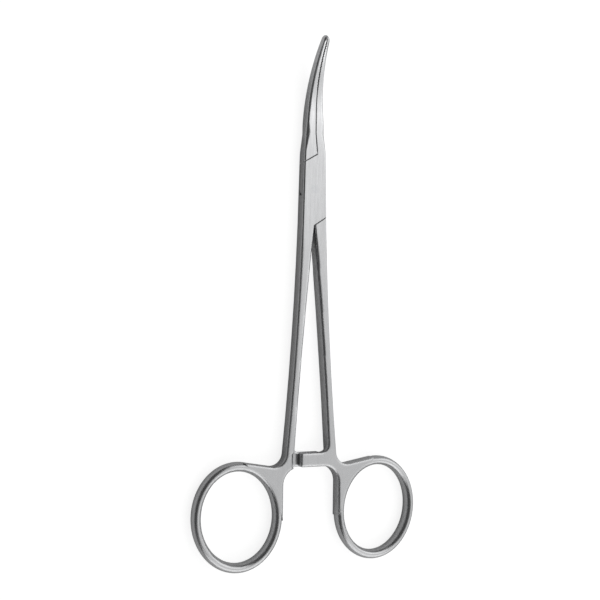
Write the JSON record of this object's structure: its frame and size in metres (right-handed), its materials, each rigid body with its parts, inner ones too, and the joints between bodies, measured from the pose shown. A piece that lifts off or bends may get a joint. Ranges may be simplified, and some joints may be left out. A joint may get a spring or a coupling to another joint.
{
  "type": "haemostatic forceps",
  "caption": "Small curved artery forceps with a box lock, finger rings, a ratchet between the shanks and jaws that curve up to fine serrated tips.",
  "frame": {"origin": "where the pivot axis meets the flat back of the lock, which is the surface the closed forceps lie on", "axes": "+Z is the pivot axis and points up from that surface; +Y runs from the rings to the tips; +X goes to the ring of the tongue half; the jaws curve towards +Z"},
  "size_m": [0.0572, 0.1253, 0.0093],
  "materials": {
    "satin_steel": "satin, fine grinding marks along the shanks"
  },
  "bodies": {
    "box_arm": {"box_half": "satin_steel", "pivot_pin": "satin_steel"},
    "tongue_arm": {"tongue_half": "satin_steel"}
  },
  "joints": [
    {"name": "lock_hinge", "type": "hinge", "parent": "box_arm", "child": "tongue_arm", "pos_m": [0, 0, 0], "axis": [0, 0, 1], "range_deg": [0, 50]}
  ]
}
